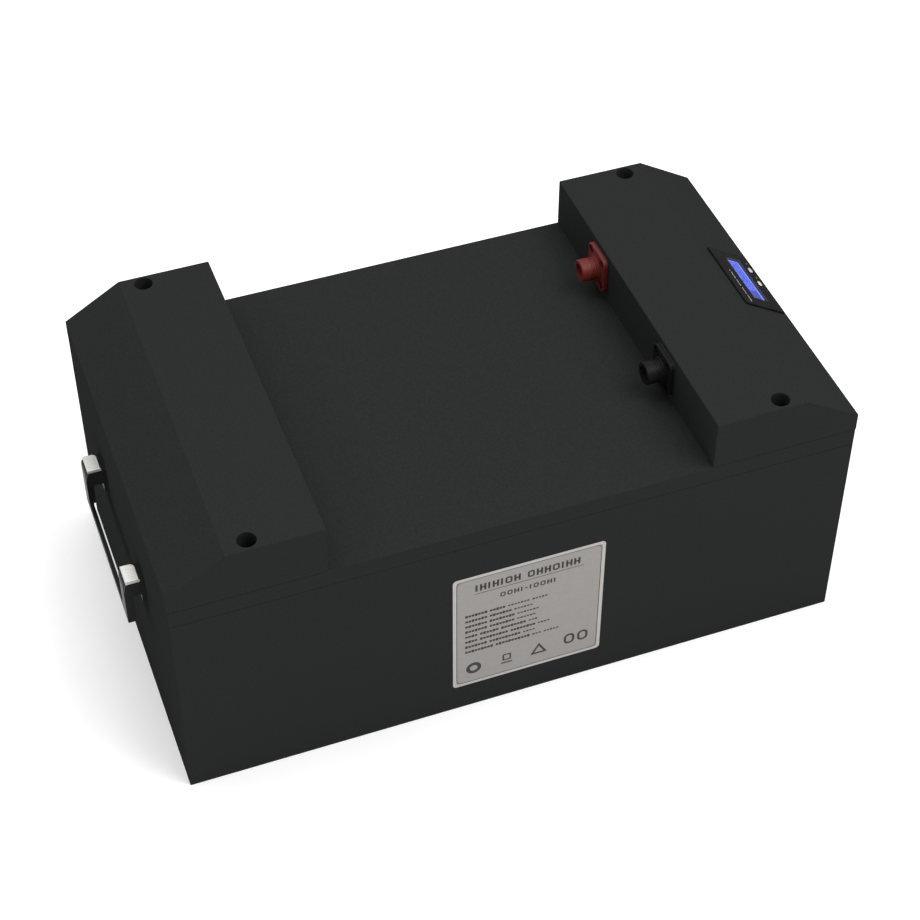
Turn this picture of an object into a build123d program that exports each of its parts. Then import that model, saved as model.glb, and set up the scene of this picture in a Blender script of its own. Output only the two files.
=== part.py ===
from build123d import *
import math
import os

os.makedirs("parts", exist_ok=True)

# Battery pack: a black moulded case with a lid, two raised end covers, round power connectors,
# a panel meter and a folding handle at each end. Millimetres, +Z up, X along the case, the label
# on the -Y side, origin at the middle of the underside.

# ------------------------------------------------------------------ driving dimensions
LENGTH = 500.0
WIDTH = 288.0
SEAM_Z = 170.0
LID_TOP = 184.0
COVER_TOP = 224.5
COVER_EDGE_Z = 198.8
COVER_WIDTH = 110.5
SLOPE_RUN = 42.5
EDGE_R = 0.8
SEAM_CHAMFER = 0.4

# Case shell
WALL = 4.0
FLOOR = 5.0
RIM = 8.0
RIM_HEIGHT = 8.0
LID_PLATE = 4.0
COVER_WALL = 3.0
FIT_GAP = 0.3
TONGUE = 2.7
TONGUE_DEPTH = 4.0
GASKET_WIDTH = 3.0
GASKET_DEPTH = 1.5

# Long cover screws and the lid's own screws
SCREW_X = 190.75
SCREW_Y = 135.2
POST_R = 7.0
COUNTERBORE_R = 6.75
SCREW_SEAT_Z = 190.0
TUBE_R = 8.6
SCREW_R = 2.45
THREAD_R = 2.5
CLEARANCE_R = 2.75
SCREW_HEAD_R = 4.25
SCREW_HEAD = 5.0
HEX_R = 2.3
SIX = 6
SCREW_TIP_Z = 152.0
THREAD_DEPTH = 22.0
LID_SCREW_X = 240.0
LID_SCREW_YS = (-62.0, 0.0, 62.0)
LID_BOSS_BOTTOM = 146.0
LID_SCREW_HEAD_R = 4.4
LID_SCREW_HEAD = 3.0
LID_SCREW_TIP_Z = 156.0

# Power connectors on the right cover's inner face
INNER_X = LENGTH / 2 - COVER_WIDTH
CONNECTOR_Y = 60.0
CONNECTOR_Z = 205.25
FLANGE = 30.0
FLANGE_CORNER_R = 5.0
FLANGE_PITCH = 20.0
FLANGE_THICK = 3.0
SEAL_THICK = 0.8
SHOULDER_R = 9.8
SHOULDER = 2.2
BARREL_R = 8.6
BARREL_LENGTH = 13.5
SOCKET_R = 5.9
SOCKET_DEPTH = 12.0
SPIGOT_R = 8.8
SPIGOT_LENGTH = 12.0
PANEL_HOLE_R = 9.0
CONTACT_R = 4.0
CONTACT_RECESS = 7.6
CONTACT_BORE_R = 2.9
STUD_R = 3.0
STUD_END = 22.0
FLANGE_SCREW_R = 1.45
FLANGE_SCREW_HOLE_R = 1.5
FLANGE_SCREW_HEAD_R = 2.8
FLANGE_SCREW_HEAD = 1.2
FLANGE_SINK_R = 3.4
FLANGE_SINK = 2.0

# Panel meter on the slope: S is the distance down the slope from the ridge
METER_S = 27.5
METER_Y = 2.0
BEZEL_DOWN = 39.0
BEZEL_ALONG = 68.0
BEZEL_PROUD = 1.5
METER_DOWN = 36.4
METER_ALONG = 61.4
METER_DEPTH = 14.0
METER_WALL = 1.2
METER_FRONT = 1.0
METER_HOLE_GAP = 0.3
WINDOW_S = 29.1
WINDOW_Y = 3.5
WINDOW_DOWN = 15.25
WINDOW_ALONG = 51.0
WINDOW_THICK = 2.2
WINDOW_RECESS = 0.2
DISPLAY_SHIFT = 1.4
DISPLAY_OVERHANG = 0.6
DISPLAY_END = 1.5
BEZEL_CORNER_R = 1.5
BEZEL_EDGE_R = 0.5
LCD_THICK = 2.4
BOARD_THICK = 1.6
BOARD_TOP = -6.4
BOARD_GAP = 0.3
BOARD_CHIPS = (14.0, 40.0)
BOARD_CHIPS_SHIFT = 4.0
SWITCH = (3.0, 4.0)
SWITCH_SHIFT = 1.0
SWITCH_TALL = 2.0
METER_BACK_THICK = 1.5
BUTTON_S = 40.3
BUTTON_YS = (17.0, 0.7)
BUTTON_ALONG = 5.4
BUTTON_DOWN = 3.2
BUTTON_PROUD = 0.7
BUTTON_EDGE_R = 0.5
BUTTON_LIP_THICK = 1.0
BUTTON_LIP = 0.6
BUTTON_GAP = 0.2

# Folding handles: H is the distance out from the end wall
BRACKET_IN = 48.0
BRACKET_OUT = 66.0
BRACKET_TOP = 135.2
BRACKET_BOTTOM = 114.0
BRACKET_BASE = 3.0
BRACKET_H = 14.6
CHEEK = 2.5
CHEEK_BOTTOM = 122.0
CHEEK_R = 5.0
CAP_THICK = 2.3
CAP_START = 3.0
CAP_END = 13.2
CAP_INSET = 1.3
CAP_CORNER_R = 4.0
PIVOT_H = 10.4
PIVOT_Z = 130.0
PIN_R = 2.0
EYE_R = 4.6
EYE_BORE_R = 2.06
BAIL_H = 15.0
BAIL_THICK = 3.0
BAIL_BOTTOM = 92.0
BAIL_BAR = 8.5
BAIL_OUT = 63.2
BAIL_IN = 50.8
BAIL_OUT_R = 2.0
BAIL_IN_R = 5.0
BAIL_FLANGE = 3.0
BAIL_FLANGE_TOP = 119.0
BAIL_TOE_R = 2.6
HANDLE_SCREW_Y = 57.0
HANDLE_SCREW_ZS = (118.0, 130.0)
HANDLE_SCREW_R = 2.0
HANDLE_SCREW_HOLE_R = 2.1
HANDLE_HEAD_R = 3.5
HANDLE_HEAD = 2.0
HANDLE_SCREW_DEPTH = 9.0
BACKING = 3.0
BACKING_ALONG = 150.0
BACKING_TALL = 32.0
BACKING_Z = 124.0

# Label on the front face
LABEL_X = 4.3
LABEL_Z = 82.0
LABEL_WIDE = 114.0
LABEL_TALL = 115.0
LABEL_THICK = 0.25
LABEL_R = 3.0

# Cells: two columns along X, four rows along Y
CELL_X = 160.0
CELL_Y = 50.0
CELL_Z = 118.0
CELL_COLUMNS = (-101.0, 61.0)
CELL_PITCH = 51.0
CELL_GAPS = 3
CELL_BASE = 8.0
CELL_EDGE_R = 2.0
TERMINAL_OFFSET = 60.0
TERMINAL_R = 7.0
TERMINAL_TALL = 3.0
POLE_R = 3.0
POLE_TALL = 7.5
BUSBAR_WIDE = 16.0
BUSBAR_THICK = 2.5
BUSBAR_OVERHANG = 16.0
PLATE_CORNER_R = 3.0
NUT_R = 5.5
NUT_TALL = 4.0
END_PLATE = 3.0
BAND_THICK = 0.8
BAND_TALL = 16.0
BAND_ZS = (40.0, 92.0)

# Protection board case, fuse and cables at the right end
BMS_X = (172.0, 228.0)
BMS_Y = (-105.0, 30.0)
BMS_TOP = 136.0
BMS_WALL = 3.0
BMS_BOARD_HALF = 1.0
SWITCH_GRID = (16.0, 40.0, 6, 2)
POWER_SWITCH = (11.0, 15.0)
POWER_SWITCH_TALL = 4.0
FIN_TALL = 6.0
FIN_THICK = 2.0
FIN_PITCH = 11.0
FIN_COUNT = 11
LUG_TOP = 140.0
LUG_PITCH = 32.0
LUG = (22.0, 16.0)
FUSE_X = (144.0, 204.0)
FUSE_Y = (45.0, 75.0)
FUSE_BOTTOM = 108.0
FUSE_FEED_X = 156.0
CABLE_R = 4.0
CABLE_X = 192.0
CABLE_HOLE_R = 9.0
GROMMET_FLANGE_R = 12.0
GROMMET_FLANGE = 2.0
CABLE_LEVEL = 152.0
CABLE_BEND_R = 12.0
CABLE_CROSSING = 18.0
LEAD_R = 2.0
LEAD_HOLE_R = 4.5
LEAD_FLANGE_R = 7.0
LEAD_STRAIGHT = 7.0

# ------------------------------------------------------------------ shared planes and places
CORNER_SCREWS = [(sx * SCREW_X, sy * SCREW_Y) for sx in (-1, 1) for sy in (-1, 1)]
LID_SCREWS = [(sx * LID_SCREW_X, y) for sx in (-1, 1) for y in LID_SCREW_YS]
CELL_ROWS = [(row - CELL_GAPS / 2) * CELL_PITCH for row in range(CELL_GAPS + 1)]
CELL_TOP = CELL_BASE + CELL_Z
PACK_X = (CELL_COLUMNS[0] - CELL_X / 2, CELL_COLUMNS[1] + CELL_X / 2)
PACK_Y = CELL_ROWS[-1] + CELL_Y / 2

ridge = Vector(LENGTH / 2 - SLOPE_RUN, 0, COVER_TOP)
slope_fall = COVER_TOP - COVER_EDGE_Z
slope_length = math.hypot(SLOPE_RUN, slope_fall)
down_slope = Vector(SLOPE_RUN / slope_length, 0, -slope_fall / slope_length)
out_of_slope = Vector(slope_fall / slope_length, 0, SLOPE_RUN / slope_length)
slope = Plane(origin=ridge, x_dir=down_slope, z_dir=out_of_slope)


def connector_plane(y):
    """Plane on the right cover's inner face, local X along +Y, normal out of the face."""
    return Plane(origin=(INNER_X, y, CONNECTOR_Z), x_dir=(0, 1, 0), z_dir=(-1, 0, 0))


def end_plane(h):
    """Plane parallel to the right end wall, H millimetres out of it."""
    return Plane.YZ.offset(LENGTH / 2 + h)


# ------------------------------------------------------------------ case body
# Moulded box, open at the top, with an inward rim, four corner posts and six lid bosses.
with BuildPart() as case_body:
    with BuildSketch(Plane.XY):
        Rectangle(LENGTH, WIDTH)
    extrude(amount=SEAM_Z)
    fillet(case_body.edges().filter_by(Axis.Z), radius=EDGE_R)
    chamfer(case_body.edges().group_by(Axis.Z)[-1], length=SEAM_CHAMFER)
    chamfer(case_body.edges().group_by(Axis.Z)[0], length=SEAM_CHAMFER)
    with BuildSketch(Plane.XY.offset(FLOOR)):
        Rectangle(LENGTH - 2 * WALL, WIDTH - 2 * WALL)
    extrude(amount=SEAM_Z, mode=Mode.SUBTRACT)
    with BuildSketch(Plane.XY.offset(SEAM_Z - RIM_HEIGHT)):
        Rectangle(LENGTH - WALL, WIDTH - WALL)
        Rectangle(LENGTH - 2 * RIM, WIDTH - 2 * RIM, mode=Mode.SUBTRACT)
    extrude(amount=RIM_HEIGHT)
    with BuildSketch(Plane.XY.offset(FLOOR)):
        with Locations(CORNER_SCREWS):
            Circle(POST_R)
    extrude(amount=SEAM_Z - FLOOR)
    with BuildSketch(Plane.XY.offset(LID_BOSS_BOTTOM)):
        with Locations(LID_SCREWS):
            Circle(POST_R)
    extrude(amount=SEAM_Z - LID_BOSS_BOTTOM)
    with BuildSketch(Plane.XY.offset(SEAM_Z - GASKET_DEPTH)):
        Rectangle(LENGTH - RIM + GASKET_WIDTH, WIDTH - RIM + GASKET_WIDTH)
        Rectangle(LENGTH - RIM - GASKET_WIDTH, WIDTH - RIM - GASKET_WIDTH, mode=Mode.SUBTRACT)
    extrude(amount=GASKET_DEPTH, mode=Mode.SUBTRACT)
    with BuildSketch(Plane.XY.offset(SEAM_Z)):
        with Locations(CORNER_SCREWS):
            Circle(THREAD_R)
        with Locations(LID_SCREWS):
            Circle(THREAD_R)
    extrude(amount=-THREAD_DEPTH, mode=Mode.SUBTRACT)
    with BuildSketch(Plane.YZ.offset(-LENGTH)):
        for z in HANDLE_SCREW_ZS:
            with Locations((-HANDLE_SCREW_Y, z), (HANDLE_SCREW_Y, z)):
                Circle(HANDLE_SCREW_HOLE_R)
    extrude(amount=2 * LENGTH, mode=Mode.SUBTRACT)
case_body.part.label = "case_body"
export_step(case_body.part, "parts/case_body.step")

# Sealing cord in the groove of the rim, cut away where the screws pass
with BuildPart() as lid_gasket:
    with BuildSketch(Plane.XY.offset(SEAM_Z - GASKET_DEPTH)):
        Rectangle(LENGTH - RIM + GASKET_WIDTH, WIDTH - RIM + GASKET_WIDTH)
        Rectangle(LENGTH - RIM - GASKET_WIDTH, WIDTH - RIM - GASKET_WIDTH, mode=Mode.SUBTRACT)
        with Locations(CORNER_SCREWS):
            Circle(CLEARANCE_R, mode=Mode.SUBTRACT)
        with Locations(LID_SCREWS):
            Circle(CLEARANCE_R, mode=Mode.SUBTRACT)
    extrude(amount=GASKET_DEPTH)
lid_gasket.part.label = "lid_gasket"
export_step(lid_gasket.part, "parts/lid_gasket.step")

# ------------------------------------------------------------------ lid
# Flat plate with a skirt, a tongue inside the rim and ribs across the underside.
RING = RIM + FIT_GAP + TONGUE
RIB_PITCH = 62.0
RIB_COUNT = 5
RIB_THICK = 2.5
RIB_TALL = 6.0
cable_holes = [(CABLE_X, -CONNECTOR_Y), (CABLE_X, CONNECTOR_Y)]
lead_start = slope.from_local_coords(Vector(METER_S, METER_Y, -METER_DEPTH))
lead_turn = lead_start - out_of_slope * LEAD_STRAIGHT
lead_hole = (lead_turn.X, METER_Y)
with BuildPart() as lid:
    with BuildSketch(Plane.XY.offset(SEAM_Z)):
        Rectangle(LENGTH, WIDTH)
    extrude(amount=LID_TOP - SEAM_Z)
    fillet(lid.edges().filter_by(Axis.Z), radius=EDGE_R)
    chamfer(lid.edges().group_by(Axis.Z)[-1], length=SEAM_CHAMFER)
    chamfer(lid.edges().group_by(Axis.Z)[0], length=SEAM_CHAMFER)
    with BuildSketch(Plane.XY.offset(SEAM_Z)):
        Rectangle(LENGTH - 2 * RING, WIDTH - 2 * RING)
    extrude(amount=LID_TOP - SEAM_Z - LID_PLATE, mode=Mode.SUBTRACT)
    with BuildSketch(Plane.XY.offset(SEAM_Z - TONGUE_DEPTH)):
        Rectangle(LENGTH - 2 * RIM - 2 * FIT_GAP, WIDTH - 2 * RIM - 2 * FIT_GAP)
        Rectangle(LENGTH - 2 * RING, WIDTH - 2 * RING, mode=Mode.SUBTRACT)
        with Locations(CORNER_SCREWS):
            Circle(POST_R + FIT_GAP, mode=Mode.SUBTRACT)
        with Locations(LID_SCREWS):
            Circle(POST_R + FIT_GAP, mode=Mode.SUBTRACT)
    extrude(amount=TONGUE_DEPTH)
    with BuildSketch(Plane.XY.offset(SEAM_Z)):
        with Locations(CORNER_SCREWS):
            Circle(POST_R)
        with Locations(LID_SCREWS):
            Circle(POST_R)
    extrude(amount=LID_TOP - SEAM_Z - LID_PLATE)
    with BuildSketch(Plane.XY.offset(LID_TOP - LID_PLATE)):
        with GridLocations(RIB_PITCH, 1, RIB_COUNT, 1):
            Rectangle(RIB_THICK, WIDTH - 2 * RING)
    extrude(amount=-RIB_TALL)
    with BuildSketch(Plane.XY.offset(SEAM_Z)):
        with Locations(CORNER_SCREWS):
            Circle(CLEARANCE_R)
        with Locations(LID_SCREWS):
            Circle(CLEARANCE_R)
        with Locations(cable_holes):
            Circle(CABLE_HOLE_R)
        with Locations(lead_hole):
            Circle(LEAD_HOLE_R)
    extrude(amount=LID_TOP - SEAM_Z, mode=Mode.SUBTRACT)
lid.part.label = "lid"
export_step(lid.part, "parts/lid.step")

# Pan-head screws that hold the lid, under the end covers
with BuildPart() as lid_screws:
    with BuildSketch(Plane.XY.offset(LID_TOP)):
        with Locations(LID_SCREWS):
            Circle(LID_SCREW_HEAD_R)
    extrude(amount=LID_SCREW_HEAD)
    fillet(lid_screws.edges().group_by(Axis.Z)[-1], radius=EDGE_R)
    with BuildSketch(Plane.XY.offset(LID_TOP + LID_SCREW_HEAD)):
        with Locations(LID_SCREWS):
            RegularPolygon(HEX_R, SIX)
    extrude(amount=-LID_SCREW_HEAD / 2, mode=Mode.SUBTRACT)
    with BuildSketch(Plane.XY.offset(LID_SCREW_TIP_Z)):
        with Locations(LID_SCREWS):
            Circle(SCREW_R)
    extrude(amount=LID_TOP - LID_SCREW_TIP_Z)
lid_screws.part.label = "lid_screws"
export_step(lid_screws.part, "parts/lid_screws.step")


# Rubber grommets that line the lid's cable holes
def grommet(place, hole_r, flange_r, bore_r):
    """Ring with a flange above and below the lid plate."""
    plate_bottom = LID_TOP - LID_PLATE
    with BuildPart() as ring:
        with BuildSketch(Plane.XY.offset(plate_bottom - GROMMET_FLANGE)):
            with Locations(place):
                Circle(flange_r)
        extrude(amount=GROMMET_FLANGE)
        with BuildSketch(Plane.XY.offset(plate_bottom)):
            with Locations(place):
                Circle(hole_r)
        extrude(amount=LID_PLATE)
        with BuildSketch(Plane.XY.offset(LID_TOP)):
            with Locations(place):
                Circle(flange_r)
        extrude(amount=GROMMET_FLANGE)
        with BuildSketch(Plane.XY.offset(plate_bottom - GROMMET_FLANGE)):
            with Locations(place):
                Circle(bore_r)
        extrude(amount=LID_PLATE + 2 * GROMMET_FLANGE, mode=Mode.SUBTRACT)
    return ring.part


with BuildPart() as lid_grommets:
    for hole in cable_holes:
        add(grommet(hole, CABLE_HOLE_R, GROMMET_FLANGE_R, CABLE_R))
    add(grommet(lead_hole, LEAD_HOLE_R, LEAD_FLANGE_R, LEAD_R))
lid_grommets.part.label = "lid_grommets"
export_step(lid_grommets.part, "parts/lid_grommets.step")


# ------------------------------------------------------------------ end covers
# Hollow mouldings, open below, with a counterbored screw boss at the front and the back.
def end_cover():
    """Right-hand cover without its connector and meter openings."""
    outer = [
        (INNER_X, LID_TOP),
        (INNER_X, COVER_TOP),
        (ridge.X, COVER_TOP),
        (LENGTH / 2, COVER_EDGE_Z),
        (LENGTH / 2, LID_TOP),
    ]
    places = [(SCREW_X, -SCREW_Y), (SCREW_X, SCREW_Y)]
    with BuildPart() as cover:
        with BuildSketch(Plane.XZ):
            with BuildLine():
                Polyline(*outer, close=True)
            make_face()
        extrude(amount=WIDTH / 2, both=True)
        chamfer(cover.edges().group_by(Axis.Z)[0], length=SEAM_CHAMFER)
        upper = cover.edges().filter_by_position(Axis.Z, COVER_EDGE_Z - 1, COVER_TOP + 1)
        fillet(upper, radius=EDGE_R)
        with BuildSketch(Plane.XZ):
            with BuildLine():
                below = [(x, LID_TOP - 2 * COVER_WALL) if z == LID_TOP else (x, z) for x, z in outer]
                Polyline(*below, close=True)
            make_face()
            offset(amount=-COVER_WALL, kind=Kind.INTERSECTION, mode=Mode.REPLACE)
        extrude(amount=WIDTH / 2 - COVER_WALL, both=True, mode=Mode.SUBTRACT)
        with BuildSketch(Plane.XY.offset(LID_TOP)):
            with Locations(places):
                Circle(TUBE_R)
        extrude(amount=COVER_TOP - LID_TOP - EDGE_R)
        with BuildSketch(Plane.XY.offset(SCREW_SEAT_Z)):
            with Locations(places):
                Circle(COUNTERBORE_R)
        extrude(amount=COVER_TOP - SCREW_SEAT_Z, mode=Mode.SUBTRACT)
        with BuildSketch(Plane.XY.offset(LID_TOP)):
            with Locations(places):
                Circle(CLEARANCE_R)
        extrude(amount=SCREW_SEAT_Z - LID_TOP, mode=Mode.SUBTRACT)
    return cover.part


plain_cover = end_cover()
with BuildPart() as left_end_cover:
    mirror(plain_cover, about=Plane.YZ)
left_end_cover.part.label = "left_end_cover"
export_step(left_end_cover.part, "parts/left_end_cover.step")

with BuildPart() as right_end_cover:
    add(plain_cover)
    for y in (-CONNECTOR_Y, CONNECTOR_Y):
        with BuildSketch(connector_plane(y)):
            Circle(PANEL_HOLE_R)
            with GridLocations(FLANGE_PITCH, FLANGE_PITCH, 2, 2):
                Circle(FLANGE_SCREW_HOLE_R)
        extrude(amount=-COVER_WALL, mode=Mode.SUBTRACT)
    with BuildSketch(slope):
        with Locations((METER_S, METER_Y)):
            Rectangle(METER_DOWN + 2 * METER_HOLE_GAP, METER_ALONG + 2 * METER_HOLE_GAP)
    extrude(amount=-2 * COVER_WALL, mode=Mode.SUBTRACT)
right_end_cover.part.label = "right_end_cover"
export_step(right_end_cover.part, "parts/right_end_cover.step")

# Socket screws at the bottom of the counterbores, through cover and lid into the corner posts
with BuildPart() as cover_screws:
    with BuildSketch(Plane.XY.offset(SCREW_SEAT_Z)):
        with Locations(CORNER_SCREWS):
            Circle(SCREW_HEAD_R)
    extrude(amount=SCREW_HEAD)
    chamfer(cover_screws.edges().group_by(Axis.Z)[-1], length=SEAM_CHAMFER)
    with BuildSketch(Plane.XY.offset(SCREW_SEAT_Z + SCREW_HEAD)):
        with Locations(CORNER_SCREWS):
            RegularPolygon(HEX_R, SIX)
    extrude(amount=-SCREW_HEAD / 2, mode=Mode.SUBTRACT)
    with BuildSketch(Plane.XY.offset(SCREW_TIP_Z)):
        with Locations(CORNER_SCREWS):
            Circle(SCREW_R)
    extrude(amount=SCREW_SEAT_Z - SCREW_TIP_Z)
cover_screws.part.label = "cover_screws"
export_step(cover_screws.part, "parts/cover_screws.step")

# ------------------------------------------------------------------ rating label
with BuildPart() as rating_label:
    with BuildSketch(Plane.XZ.offset(WIDTH / 2)):
        with Locations((LABEL_X, LABEL_Z)):
            RectangleRounded(LABEL_WIDE, LABEL_TALL, LABEL_R)
    extrude(amount=LABEL_THICK)
rating_label.part.label = "rating_label"
export_step(rating_label.part, "parts/rating_label.step")


# ------------------------------------------------------------------ power connectors
# Moulded body with a square flange and a round ringed barrel, a contact inside it, a flat seal
# behind it and four screws.
FLANGE_TOP = SEAL_THICK + FLANGE_THICK
BARREL_END = FLANGE_TOP + BARREL_LENGTH
GROOVES = (7.6, 9.2)
GROOVE_WIDE = 0.8
GROOVE_DEEP = 0.5


def ring_cut(plane, start, thick, outer_r, inner_r):
    """Ring-shaped slice used to turn a groove into a barrel."""
    with BuildPart() as ring:
        with BuildSketch(plane.offset(start)):
            Circle(outer_r)
            Circle(inner_r, mode=Mode.SUBTRACT)
        extrude(amount=thick)
    return ring.part


def connector_housing(y):
    plane = connector_plane(y)
    with BuildPart() as housing:
        with BuildSketch(plane.offset(SEAL_THICK)):
            RectangleRounded(FLANGE, FLANGE, FLANGE_CORNER_R)
        extrude(amount=FLANGE_THICK)
        fillet(housing.faces().sort_by(Axis.X)[0].edges(), radius=EDGE_R)
        with BuildSketch(plane.offset(FLANGE_TOP)):
            Circle(SHOULDER_R)
        extrude(amount=SHOULDER)
        with BuildSketch(plane.offset(FLANGE_TOP + SHOULDER)):
            Circle(BARREL_R)
        extrude(amount=BARREL_LENGTH - SHOULDER)
        chamfer(housing.faces().sort_by(Axis.X)[0].edges(), length=SEAM_CHAMFER)
        with BuildSketch(plane.offset(SEAL_THICK)):
            Circle(SPIGOT_R)
        extrude(amount=-SPIGOT_LENGTH)
        with BuildSketch(plane.offset(BARREL_END)):
            Circle(SOCKET_R)
        extrude(amount=-SOCKET_DEPTH, mode=Mode.SUBTRACT)
        with BuildSketch(plane.offset(BARREL_END - SOCKET_DEPTH)):
            Circle(CONTACT_R)
        extrude(amount=-BARREL_END - SPIGOT_LENGTH, mode=Mode.SUBTRACT)
        for start in GROOVES:
            groove = ring_cut(plane, start, GROOVE_WIDE, BARREL_R + 1, BARREL_R - GROOVE_DEEP)
            add(groove, mode=Mode.SUBTRACT)
        with BuildSketch(plane.offset(SEAL_THICK)):
            with GridLocations(FLANGE_PITCH, FLANGE_PITCH, 2, 2):
                Circle(FLANGE_SCREW_HOLE_R)
        extrude(amount=FLANGE_THICK, mode=Mode.SUBTRACT)
        with BuildSketch(plane.offset(FLANGE_TOP - FLANGE_SINK)):
            with GridLocations(FLANGE_PITCH, FLANGE_PITCH, 2, 2):
                Circle(FLANGE_SINK_R)
        extrude(amount=FLANGE_SINK, mode=Mode.SUBTRACT)
    return housing.part


def connector_contact(y):
    plane = connector_plane(y)
    back = SEAL_THICK - SPIGOT_LENGTH
    with BuildPart() as contact:
        with BuildSketch(plane.offset(back)):
            Circle(CONTACT_R)
        extrude(amount=BARREL_END - CONTACT_RECESS - back)
        with BuildSketch(plane.offset(BARREL_END - CONTACT_RECESS)):
            Circle(CONTACT_BORE_R)
        extrude(amount=-SOCKET_DEPTH / 2, mode=Mode.SUBTRACT)
        with BuildSketch(plane.offset(-STUD_END)):
            Circle(STUD_R)
        extrude(amount=STUD_END + back)
    return contact.part


def connector_seal(y):
    with BuildPart() as seal:
        with BuildSketch(connector_plane(y)):
            RectangleRounded(FLANGE, FLANGE, FLANGE_CORNER_R)
            Circle(PANEL_HOLE_R, mode=Mode.SUBTRACT)
            with GridLocations(FLANGE_PITCH, FLANGE_PITCH, 2, 2):
                Circle(FLANGE_SCREW_HOLE_R, mode=Mode.SUBTRACT)
        extrude(amount=SEAL_THICK)
    return seal.part


def connector_screws(y):
    plane = connector_plane(y)
    seat = FLANGE_TOP - FLANGE_SINK
    with BuildPart() as screws:
        with BuildSketch(plane.offset(seat)):
            with GridLocations(FLANGE_PITCH, FLANGE_PITCH, 2, 2):
                Circle(FLANGE_SCREW_HEAD_R)
        extrude(amount=FLANGE_SCREW_HEAD)
        fillet(screws.edges().group_by(Axis.X)[0], radius=EDGE_R)
        with BuildSketch(plane.offset(seat)):
            with GridLocations(FLANGE_PITCH, FLANGE_PITCH, 2, 2):
                Circle(FLANGE_SCREW_R)
        extrude(amount=-seat - 2 * COVER_WALL)
    return screws.part


with BuildPart() as positive_connector:
    add(connector_housing(CONNECTOR_Y))
positive_connector.part.label = "positive_connector"
export_step(positive_connector.part, "parts/positive_connector.step")

with BuildPart() as negative_connector:
    add(connector_housing(-CONNECTOR_Y))
negative_connector.part.label = "negative_connector"
export_step(negative_connector.part, "parts/negative_connector.step")

with BuildPart() as positive_contact:
    add(connector_contact(CONNECTOR_Y))
positive_contact.part.label = "positive_contact"
export_step(positive_contact.part, "parts/positive_contact.step")

with BuildPart() as negative_contact:
    add(connector_contact(-CONNECTOR_Y))
negative_contact.part.label = "negative_contact"
export_step(negative_contact.part, "parts/negative_contact.step")

with BuildPart() as connector_seals:
    add(connector_seal(CONNECTOR_Y))
    add(connector_seal(-CONNECTOR_Y))
connector_seals.part.label = "connector_seals"
export_step(connector_seals.part, "parts/connector_seals.step")

with BuildPart() as flange_screws:
    add(connector_screws(CONNECTOR_Y))
    add(connector_screws(-CONNECTOR_Y))
flange_screws.part.label = "flange_screws"
export_step(flange_screws.part, "parts/flange_screws.step")

# ------------------------------------------------------------------ panel meter
# Snap-in housing with a bezel, a clear window over the display, two push buttons and a board.
with BuildPart() as meter_housing:
    with BuildSketch(slope):
        with Locations((METER_S, METER_Y)):
            RectangleRounded(BEZEL_DOWN, BEZEL_ALONG, BEZEL_CORNER_R)
    extrude(amount=BEZEL_PROUD)
    fillet(meter_housing.faces().sort_by(Axis.Z)[-1].edges(), radius=BEZEL_EDGE_R)
    with BuildSketch(slope):
        with Locations((METER_S, METER_Y)):
            Rectangle(METER_DOWN, METER_ALONG)
    extrude(amount=-METER_DEPTH)
    with BuildSketch(slope.offset(-METER_FRONT)):
        with Locations((METER_S, METER_Y)):
            Rectangle(METER_DOWN - 2 * METER_WALL, METER_ALONG - 2 * METER_WALL)
    extrude(amount=-METER_DEPTH, mode=Mode.SUBTRACT)
    with BuildSketch(slope.offset(-METER_FRONT)):
        with Locations((WINDOW_S, WINDOW_Y)):
            Rectangle(WINDOW_DOWN, WINDOW_ALONG)
        for y in BUTTON_YS:
            with Locations(Location((BUTTON_S, y), 90)):
                SlotOverall(BUTTON_ALONG + 2 * BUTTON_GAP, BUTTON_DOWN + 2 * BUTTON_GAP)
    extrude(amount=METER_FRONT + BEZEL_PROUD, mode=Mode.SUBTRACT)
meter_housing.part.label = "meter_housing"
export_step(meter_housing.part, "parts/meter_housing.step")

with BuildPart() as meter_window:
    with BuildSketch(slope.offset(BEZEL_PROUD - WINDOW_RECESS)):
        with Locations((WINDOW_S, WINDOW_Y)):
            Rectangle(WINDOW_DOWN, WINDOW_ALONG)
    extrude(amount=-WINDOW_THICK)
meter_window.part.label = "meter_window"
export_step(meter_window.part, "parts/meter_window.step")

with BuildPart() as meter_display:
    with BuildSketch(slope.offset(-METER_FRONT)):
        with Locations((WINDOW_S - DISPLAY_SHIFT, WINDOW_Y)):
            Rectangle(WINDOW_DOWN + 2 * DISPLAY_OVERHANG, WINDOW_ALONG + 2 * DISPLAY_END)
    extrude(amount=-LCD_THICK)
meter_display.part.label = "meter_display"
export_step(meter_display.part, "parts/meter_display.step")

board_down = METER_DOWN - 2 * (METER_WALL + BOARD_GAP)
board_along = METER_ALONG - 2 * (METER_WALL + BOARD_GAP)
with BuildPart() as meter_board:
    with BuildSketch(slope.offset(BOARD_TOP)):
        with Locations((METER_S, METER_Y)):
            Rectangle(board_down, board_along)
    extrude(amount=-BOARD_THICK)
    with BuildSketch(slope.offset(BOARD_TOP)):
        with Locations((METER_S - BOARD_CHIPS_SHIFT, METER_Y)):
            Rectangle(*BOARD_CHIPS)
    extrude(amount=-METER_FRONT - LCD_THICK - BOARD_TOP)
    with BuildSketch(slope.offset(BOARD_TOP)):
        for y in BUTTON_YS:
            with Locations((BUTTON_S - SWITCH_SHIFT, y)):
                Rectangle(*SWITCH)
    extrude(amount=SWITCH_TALL)
meter_board.part.label = "meter_board"
export_step(meter_board.part, "parts/meter_board.step")

with BuildPart() as meter_back:
    with BuildSketch(slope.offset(-METER_DEPTH)):
        with Locations((METER_S, METER_Y)):
            Rectangle(METER_DOWN - 2 * METER_WALL, METER_ALONG - 2 * METER_WALL)
    extrude(amount=METER_BACK_THICK)
meter_back.part.label = "meter_back"
export_step(meter_back.part, "parts/meter_back.step")


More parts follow.
